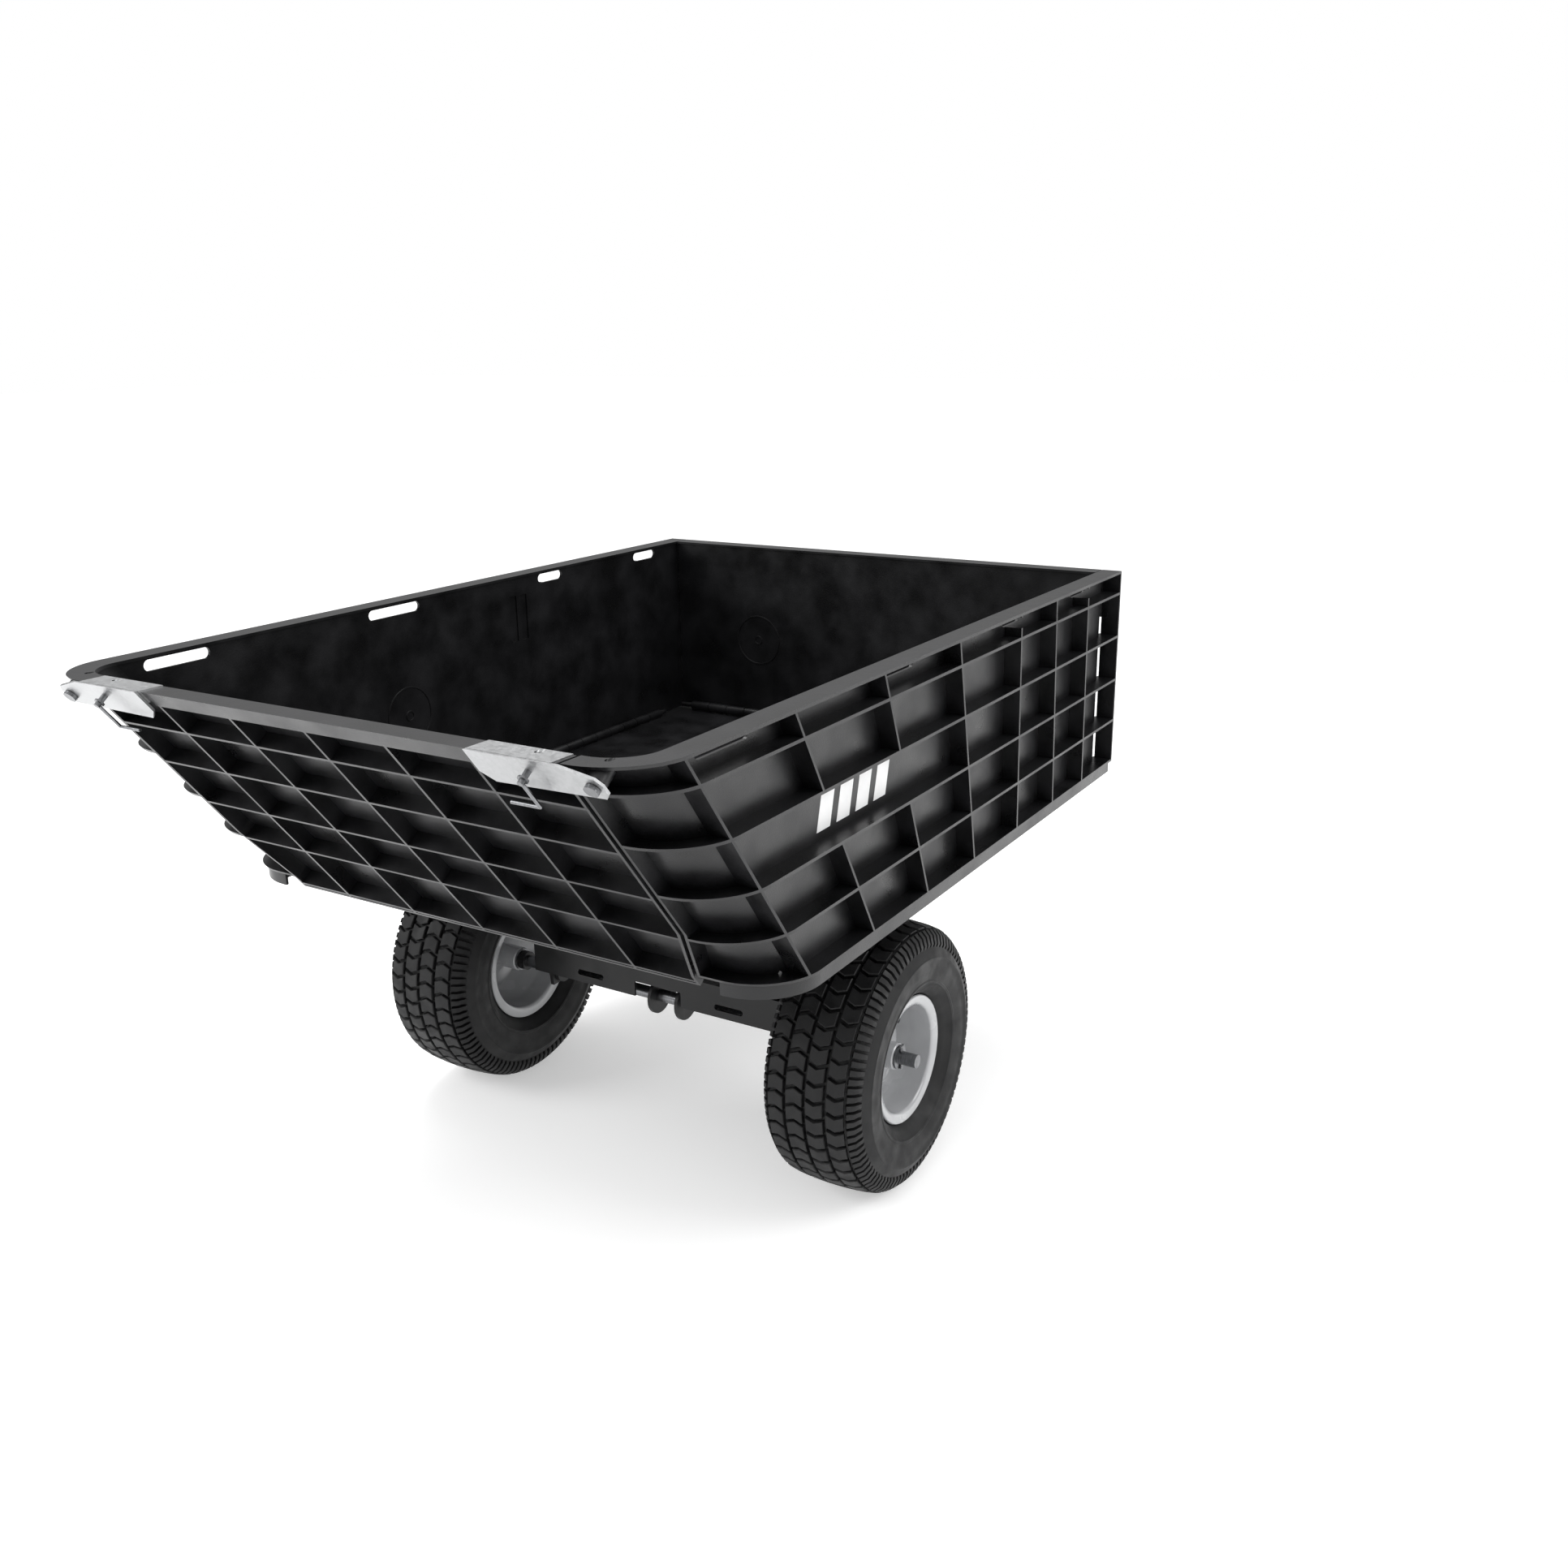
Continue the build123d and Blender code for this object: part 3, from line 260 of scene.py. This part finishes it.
def soften(piece: bpy.types.Object, width_mm: float, segments: int = 2) -> None:
    """Rounds a piece's edges with a small bevel.

    Args:
        piece: The object to round.
        width_mm: The bevel's width.
        segments: Steps round the edge.
    """
    bevel = piece.modifiers.new("rounded_edges", "BEVEL")
    bevel.width = width_mm * MM
    bevel.segments = segments
    bevel.limit_method = "ANGLE"
    bevel.angle_limit = math.radians(40)
    bevel.harden_normals = False


def lathe(mesh: bmesh.types.BMesh, profile: list[tuple[float, float]], centre: Vector, sign: int,
          steps: int) -> None:
    """Turns a closed (radius, outboard offset) outline in millimetres about the axle line.

    Args:
        mesh: The bmesh that takes the faces.
        profile: The outline's points, in order.
        centre: The wheel's centre.
        sign: One on the left, minus one on the right.
        steps: Segments round the turn.
    """
    rings = []
    for i in range(steps):
        turn = 2 * math.pi * i / steps
        ring = [mesh.verts.new(centre + Vector((r * math.cos(turn), sign * y, r * math.sin(turn))) * MM)
                for r, y in profile]
        rings.append(ring)
    count = len(profile)
    for i in range(steps):
        a, b = rings[i], rings[(i + 1) % steps]
        for j in range(count):
            k = (j + 1) % count
            mesh.faces.new((a[j], a[k], b[k], b[j]))


def rounded_outline(points: list[tuple[float, float]], radius: float,
                    steps: int) -> list[tuple[float, float]]:
    """Rounds the corners of a closed outline.

    Args:
        points: The outline's corners.
        radius: How far from each corner its curve starts.
        steps: Points along each curve.

    Returns:
        The rounded outline.
    """
    out = []
    count = len(points)
    for i in range(count):
        here = Vector(points[i])
        back = Vector(points[i - 1]) - here
        ahead = Vector(points[(i + 1) % count]) - here
        reach = min(radius, back.length * 0.45, ahead.length * 0.45)
        start, end = here + back.normalized() * reach, here + ahead.normalized() * reach
        for j in range(steps + 1):
            t = j / steps
            spot = start * (1 - t) ** 2 + here * 2 * t * (1 - t) + end * t ** 2
            out.append((spot.x, spot.y))
    return out


# ------------------------------------------------------------------ wheels
@dataclass
class TurfTyre:
    """Pneumatic turf tyre: a turned carcass with rows of kinked tread blocks. Sizes in millimetres."""

    side: Side
    centre: Vector
    radius: float
    half_width: float
    bead_radius: float = 92.6
    bead_offset: float = 57.0
    flat_half: float = 46.0
    shoulder_radius: float = 27.0
    crown: float = 2.5
    groove: float = 6.5
    pitches: int = 48
    gap: float = 5.2
    columns: tuple[float, ...] = (-45.0, -15.0, 15.0, 45.0)
    block_width: float = 25.0
    kink: float = 5.0
    lug_share: float = 0.46
    steps: int = 168

    def surface(self, t: float, depth: float) -> tuple[float, float]:
        """Radius and offset of a point on the tread.

        Args:
            t: Distance across the tread from its middle, along the surface.
            depth: Distance below the block tops.

        Returns:
            The point's radius and its offset from the tyre's middle.
        """
        sign = 1.0 if t >= 0 else -1.0
        reach = abs(t)
        if reach <= self.flat_half:
            return self.radius - self.crown * (reach / self.flat_half) ** 2 - depth, t
        turn = (reach - self.flat_half) / self.shoulder_radius
        bend = self.shoulder_radius - depth
        y = self.flat_half + bend * math.sin(turn)
        r = self.radius - self.crown - self.shoulder_radius + bend * math.cos(turn)
        return r, sign * y

    def carcass(self) -> list[tuple[float, float]]:
        """Outline of the tyre without its blocks: tread base, ringed sidewalls, beads and inside."""
        half = []
        for i in range(15):
            half.append(self.surface(82.0 * i / 14, self.groove))
        wall = [(self.radius - 34, self.half_width - 4.5), (self.radius - 41, self.half_width - 2.2),
                (self.radius - 43, self.half_width - 0.6), (self.radius - 46, self.half_width - 0.6),
                (self.radius - 48, self.half_width - 1.8), (self.radius - 58, self.half_width - 1.2),
                (self.radius - 66, self.half_width - 2.4), (self.radius - 75, self.half_width - 5.0),
                (self.radius - 77, self.half_width - 4.2), (self.radius - 80, self.half_width - 5.2),
                (self.radius - 82, self.half_width - 8.0), (self.radius - 90, self.half_width - 13.5),
                (self.bead_radius + 3, self.bead_offset + 4.0), (self.bead_radius, self.bead_offset)]
        inside = [(84.0, self.bead_offset - 12.0), (self.radius - 62, self.half_width - 16.0),
                  (self.radius - 36, self.half_width - 18.0), (self.radius - 20, 34.0)]
        right = half[1:] + wall + inside
        left = [(r, -y) for r, y in right]
        return [half[0]] + right + [(self.radius - 18, 0.0)] + list(reversed(left))

    def place(self, turn: float, t: float, depth: float) -> Vector:
        """Point of the tread in the row frame, in metres."""
        r, y = self.surface(t, depth)
        return self.centre + Vector((r * math.cos(turn), self.side.value * y, r * math.sin(turn))) * MM

    def block(self, mesh: bmesh.types.BMesh, middle: float, t: float, width: float) -> None:
        """Adds one tread block.

        Args:
            mesh: The bmesh that takes the faces.
            middle: Angle of the block's middle.
            t: Its place across the tread.
            width: Its width across the tread.
        """
        length = 2 * math.pi / self.pitches * self.radius - self.gap
        half, side = length / 2, width / 2
        kink = self.kink if t >= 0 else -self.kink
        base = [(-half - kink / 2, -side), (-half + kink / 2, 0.0), (-half - kink / 2, side),
                (-kink / 2, side), (half - kink / 2, side), (half + kink / 2, 0.0), (half - kink / 2, -side),
                (-kink / 2, -side)]
        layers = []
        for depth, grow in ((self.groove + 0.6, 0.6), (1.0, 0.0), (0.0, -1.0)):
            ring = []
            for a, b in base:
                pull = 1.0 + grow / half
                across = 1.0 + grow / side
                spot = self.place(middle + a * pull / self.radius, t + b * across, depth)
                ring.append(mesh.verts.new(spot))
            layers.append(ring)
        for lower, upper in zip(layers, layers[1:]):
            for j in range(len(base)):
                k = (j + 1) % len(base)
                mesh.faces.new((lower[j], lower[k], upper[k], upper[j]))
        top = layers[-1]
        mesh.faces.new((top[0], top[1], top[5], top[6], top[7]))
        mesh.faces.new((top[1], top[2], top[3], top[4], top[5]))

    def shoulder_lug(self, mesh: bmesh.types.BMesh, middle: float, sign: int) -> None:
        """Adds one narrow lug that runs from the shoulder down to the sidewall.

        Args:
            mesh: The bmesh that takes the faces.
            middle: Angle of the lug's middle.
            sign: One outboard, minus one inboard.
        """
        length = 2 * math.pi / self.pitches * self.radius * self.lug_share * 0.72
        rows = []
        for t, depth in ((61.0, self.groove + 0.5), (61.6, 0.2), (72.0, 0.0), (84.0, 0.6), (92.0, 2.2),
                         (95.0, self.groove + 0.5)):
            narrow = length / 2 * (1.0 - 0.25 * (t - 61.0) / 34.0)
            rows.append([mesh.verts.new(self.place(middle + a / self.radius, sign * t, depth))
                         for a in (-narrow, 0.0, narrow)])
            rows[-1] += [mesh.verts.new(self.place(middle + a / self.radius, sign * t, self.groove + 0.6))
                         for a in (narrow + 0.6, -narrow - 0.6)]
        for a, b in zip(rows, rows[1:]):
            for j, k in ((0, 1), (1, 2), (2, 3), (4, 0)):
                mesh.faces.new((a[j], a[k], b[k], b[j]))

    def build(self) -> bpy.types.Object:
        """Builds the tyre and replaces the plain CAD one.

        Returns:
            The tyre.
        """
        mesh = bmesh.new()
        lathe(mesh, self.carcass(), self.centre, self.side.value, self.steps)
        step = 2 * math.pi / self.pitches
        for i in range(self.pitches):
            for j, t in enumerate(self.columns):
                self.block(mesh, (i + 0.5 * (j % 2)) * step, t, self.block_width)
            for sign in (-1, 1):
                self.shoulder_lug(mesh, i * step, sign)
                self.shoulder_lug(mesh, (i + 0.5) * step, sign)
        word = self.side.word
        piece = new_piece(f"{word}_treaded_tyre", mesh, TYRE_RUBBER, f"{word}_wheel")
        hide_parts(f"{word}_tyre")
        return piece


@dataclass
class PressedRim:
    """Pressed steel rim in two welded halves, with rolled flanges, a deep dish and a hub. Millimetres."""

    side: Side
    centre: Vector
    flange_radius: float = 92.0
    flange_offset: float = 58.0
    seat_radius: float = 79.0
    dish_offset: float = 14.0
    hub_radius: float = 19.0
    hub_half: float = 42.0
    shaft_radius: float = 9.6
    sheet: float = 3.0
    rim_steps: int = 144
    hub_steps: int = 64

    def outline(self) -> list[tuple[float, float]]:
        """Closed outline of the rim's section, as radius and offset."""
        f, r, t, s = self.flange_offset, self.flange_radius, self.sheet, self.seat_radius
        outer = [(r, f - 1), (s + 2, f - 5), (s, f - 9), (s, 20), (s - 4, 8), (s - 4, -8), (s, -20),
                 (s, -f + 9), (s + 2, -f + 5), (r, -f + 1)]
        inner = [(r, -f - t), (s - t, -f + 1), (s - t, -24), (s - 11, -10), (62, self.dish_offset - 16),
                 (52, self.dish_offset - 4), (34, self.dish_offset), (self.hub_radius, self.dish_offset),
                 (self.hub_radius, self.dish_offset + t), (35, self.dish_offset + t),
                 (54, self.dish_offset - 1),
                 (64, self.dish_offset - 12), (s - 12, -5), (s - t - 4, 6), (s - t, 22), (s - t, f - 2),
                 (s + 1, f + 0.5), (r - 2, f + t)]
        return rounded_outline(outer + inner, 3.0, 3)

    def build(self) -> list[bpy.types.Object]:
        """Builds the rim with its hub, and replaces the CAD ones.

        Returns:
            The rim and the hub.
        """
        word = self.side.word
        mesh = bmesh.new()
        lathe(mesh, self.outline(), self.centre, self.side.value, self.rim_steps)
        rim = new_piece(f"{word}_pressed_rim", mesh, RIM_ENAMEL, f"{word}_wheel", 50.0)
        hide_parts(f"{word}_rim")
        hub = bmesh.new()
        h, a, b, d = self.hub_half, self.shaft_radius, self.hub_radius, self.dish_offset
        tube_outline = [(a, -h), (b - 1.5, -h), (b, -h + 1.5), (b, d - 2), (b + 5, d - 1),
                        (b + 5, d + 5), (b, d + 9), (b, h - 1.5), (b - 1.5, h), (a, h)]
        lathe(hub, tube_outline, self.centre, self.side.value, self.hub_steps)
        barrel = new_piece(f"{word}_hub_barrel", hub, RIM_ENAMEL, f"{word}_wheel")
        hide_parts(f"{word}_hub")
        return [rim, barrel]


# ------------------------------------------------------------------ bed trim
@dataclass
class BedTrim:
    """Low round bosses inside the walls, and the printed bars outside.

    Bosses and walls are in millimetres, and the bars and all places in metres.
    """

    boss_radius: float = 46.0
    boss_width: float = 3.0
    boss_height: float = 1.2
    front_wall: float = 29.0
    inner_y: float = 415.0
    bar_start: float = -0.505
    bar_pitch: float = 0.046
    bar_width: float = 0.031
    bar_lean: float = 0.012
    bar_z: tuple[float, float] = (0.611, 0.657)
    front_boss_y: float = 0.235
    front_boss_z: float = 0.605
    side_boss: tuple[float, float] = (-0.30, 0.60)

    def ring(self, name: str, centre: Vector, facing: Vector, body: str, radius: float) -> bpy.types.Object:
        """Builds one low round boss: a raised ring with a small raised centre.

        Args:
            name: The piece's name.
            centre: Its middle on the wall's face, in metres.
            facing: The wall's normal.
            body: The body it rides on.
            radius: The ring's radius.

        Returns:
            The boss.
        """
        mesh = bmesh.new()
        turn = facing.to_track_quat("Z", "Y").to_matrix().to_4x4()
        for low, high in ((radius - self.boss_width, radius), (6.0, 8.5)):
            section = [(low, -0.5), (high, -0.5), (high - 0.5, self.boss_height),
                       (low + 0.5, self.boss_height)]
            rings = []
            for i in range(72):
                angle = 2 * math.pi * i / 72
                rings.append([mesh.verts.new(Vector((r * math.cos(angle), r * math.sin(angle), z)) * MM)
                              for r, z in section])
            for i in range(72):
                a, b = rings[i], rings[(i + 1) % 72]
                for j in range(4):
                    k = (j + 1) % 4
                    mesh.faces.new((a[j], a[k], b[k], b[j]))
        mesh.transform(Matrix.Translation(centre) @ turn)
        return new_piece(name, mesh, BED_PLASTIC, body)

    def bars(self) -> list[bpy.types.Object]:
        """Prints four plain slanted bars on the flat band of each side wall.

        Returns:
            The bars of both sides.
        """
        pieces = []
        for side in Side:
            for index in range(4):
                mesh = bmesh.new()
                x0 = self.bar_start + self.bar_pitch * index
                y = side.value * (self.inner_y + 4.25) * MM
                x1, lean = x0 + self.bar_width, self.bar_lean
                low, high = self.bar_z
                corners = [(x0, low), (x1, low), (x1 + lean, high), (x0 + lean, high)]
                outer = [mesh.verts.new((x, y, z)) for x, z in corners]
                inner = [mesh.verts.new((x, y - side.value * 0.0004, z)) for x, z in corners]
                mesh.faces.new(outer)
                mesh.faces.new(list(reversed(inner)))
                for j in range(4):
                    k = (j + 1) % 4
                    mesh.faces.new((outer[j], inner[j], inner[k], outer[k]))
                name = f"{side.word}_printed_bar_{index + 1}"
                pieces.append(new_piece(name, mesh, WHITE_INK, "bed"))
        return pieces

    def build(self) -> list[bpy.types.Object]:
        """Builds all of the trim.

        Returns:
            The trim's pieces.
        """
        pieces = self.bars()
        front_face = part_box("front_panel")[1][0] - self.front_wall * MM
        for name, y in (("front_left_boss", self.front_boss_y), ("front_right_boss", -self.front_boss_y)):
            spot = Vector((front_face, y, self.front_boss_z))
            pieces.append(self.ring(name, spot, Vector((-1, 0, 0)), "front_wall", self.boss_radius))
        for side in Side:
            x, z = self.side_boss
            spot = Vector((x, side.value * self.inner_y * MM, z))
            facing = Vector((0, -side.value, 0))
            pieces.append(self.ring(f"{side.word}_wall_boss", spot, facing, "bed", self.boss_radius))
        return pieces


# ------------------------------------------------------------------ carried-over pieces
class CadDress:
    """Gives every carried-over CAD piece its finish and softened edges."""

    def dress(self) -> int:
        """Assigns a finish to each CAD piece by its material slot.

        Returns:
            How many pieces were dressed.
        """
        slots = {row["node"]: row["material_slot"] for row in frame["record"]["subparts"]}
        for name, piece in frame["nodes"].items():
            finish = SLOT_FINISH[slots[name]]
            piece.data.materials.clear()
            piece.data.materials.append(finish.material())
            if name in EDGE_MM:
                soften(piece, EDGE_MM[name])
        return len(frame["nodes"])


# ------------------------------------------------------------------ studio
@dataclass
class Studio:
    """Camera at the viewing angle, pale floor and soft white light."""

    behind_axle: float = 1.6707
    right_of_middle: float = 1.2165
    height: float = 1.1605
    azimuth: float = -58.74
    elevation: float = 17.07
    roll: float = -0.72
    lens_mm: float = 34.09
    sensor_mm: float = 36.0
    horizon: float = 0.22
    surround: float = 0.95
    floor_glow: float = 0.40

    def camera(self) -> bpy.types.Object:
        """Makes the camera and sets it as the scene's own.

        Returns:
            The camera.
        """
        data = bpy.data.cameras.new("camera")
        data.sensor_width = self.sensor_mm
        data.lens = self.lens_mm
        eye = bpy.data.objects.new("camera", data)
        a, e, r = (math.radians(v) for v in (self.azimuth, self.elevation, self.roll))
        back = Vector((math.sin(a) * math.cos(e), -math.cos(a) * math.cos(e), math.sin(e)))
        right = Vector((0, 0, 1)).cross(back).normalized()
        up = back.cross(right)
        right, up = right * math.cos(r) + up * math.sin(r), -right * math.sin(r) + up * math.cos(r)
        turn = Matrix((right, up, back)).transposed().to_4x4()
        low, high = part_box("axle_shaft")
        axle_x = (low[0] + high[0]) / 2
        spot = Vector((axle_x - self.behind_axle, -self.right_of_middle, self.height))
        eye.matrix_world = Matrix.Translation(spot) @ turn
        bpy.context.scene.collection.objects.link(eye)
        bpy.context.scene.camera = eye
        return eye

    def floor(self) -> bpy.types.Object:
        """Makes the plain floor, and stages it."""
        mesh = bmesh.new()
        size = 30.0
        mesh.faces.new([mesh.verts.new((x, y, 0.0)) for x, y in ((-size, -size), (size, -size), (size, size),
                                                                 (-size, size))])
        data = bpy.data.meshes.new("floor")
        mesh.to_mesh(data)
        mesh.free()
        material = bpy.data.materials.new("white_sweep")
        material.use_nodes = True
        shader = material.node_tree.nodes["Principled BSDF"]
        shader.inputs["Base Color"].default_value = linear("#f4f4f4")
        shader.inputs["Roughness"].default_value = 0.9
        shader.inputs["Specular IOR Level"].default_value = 0.1
        shader.inputs["Emission Color"].default_value = linear("#ffffff")
        shader.inputs["Emission Strength"].default_value = self.floor_glow
        data.materials.append(material)
        floor = bpy.data.objects.new("floor", data)
        bpy.context.scene.collection.objects.link(floor)
        return floor

    def lamp(self, name: str, place: tuple[float, float, float], target: tuple[float, float, float],
             size: float, watts: float) -> bpy.types.Object:
        """Makes one square softbox.

        Args:
            name: The light's name.
            place: Where it hangs, in metres.
            target: What it points at.
            size: Its side, in metres.
            watts: Its power.

        Returns:
            The light.
        """
        data = bpy.data.lights.new(name, "AREA")
        data.size = size
        data.energy = watts
        lamp = bpy.data.objects.new(name, data)
        lamp.location = place
        lamp.rotation_mode = "QUATERNION"
        lamp.rotation_quaternion = (Vector(target) - Vector(place)).to_track_quat("-Z", "Y")
        bpy.context.scene.collection.objects.link(lamp)
        return lamp

    def light(self) -> None:
        """Lights the cart from above with a white surround."""
        world = bpy.data.worlds.new("white_surround")
        world.use_nodes = True
        tree = world.node_tree
        tree.nodes.clear()
        seen = add_node(tree, "ShaderNodeBackground", {"Color": (1, 1, 1, 1), "Strength": 1.0})
        way = add_node(tree, "ShaderNodeSeparateXYZ", None,
                       {"Vector": add_node(tree, "ShaderNodeTexCoord").outputs["Generated"]})
        rise = add_node(tree, "ShaderNodeMapRange",
                        {"From Min": 0.05, "From Max": 0.65, "To Min": self.horizon, "To Max": self.surround},
                        {"Value": way.outputs["Z"]})
        room = add_node(tree, "ShaderNodeBackground", {"Color": (1, 1, 1, 1)},
                        {"Strength": rise.outputs["Result"]})
        ray = add_node(tree, "ShaderNodeLightPath")
        both = add_node(tree, "ShaderNodeMixShader", None, {"Fac": ray.outputs["Is Camera Ray"]})
        tree.links.new(room.outputs["Background"], both.inputs[1])
        tree.links.new(seen.outputs["Background"], both.inputs[2])
        add_node(tree, "ShaderNodeOutputWorld", None, {"Surface": both.outputs["Shader"]})
        bpy.context.scene.world = world
        bpy.context.scene.view_settings.view_transform = "Standard"
        middle = (-0.2, 0.0, 0.5)
        self.lamp("overhead_softbox", (0.3, 0.6, 3.6), middle, 2.6, 90.0)
        self.lamp("rear_left_softbox", (-2.8, 2.4, 2.4), middle, 1.8, 60.0)
        self.lamp("right_softbox", (0.8, -3.2, 2.2), middle, 1.8, 45.0)


def main() -> None:
    """Builds the studio, the wheels and the trim, and dresses the CAD pieces."""
    logging.basicConfig(level=logging.INFO, format="%(name)s: %(message)s")
    studio = Studio()
    studio.camera()
    studio.floor()
    studio.light()
    LOG.info("studio ready")
    LOG.info("dressed %d carried-over pieces", CadDress().dress())
    for side in Side:
        low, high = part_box(f"{side.word}_tyre")
        centre = (Vector(low) + Vector(high)) / 2
        radius = (high[2] - low[2]) / 2 / MM
        half_width = (high[1] - low[1]) / 2 / MM
        tyre = TurfTyre(side, centre, radius, half_width).build()
        LOG.info("built %s", tyre.name)
        for piece in PressedRim(side, centre).build():
            LOG.info("built %s", piece.name)
    for piece in BedTrim().build():
        LOG.info("built %s", piece.name)


if __name__ == "__main__":
    main()
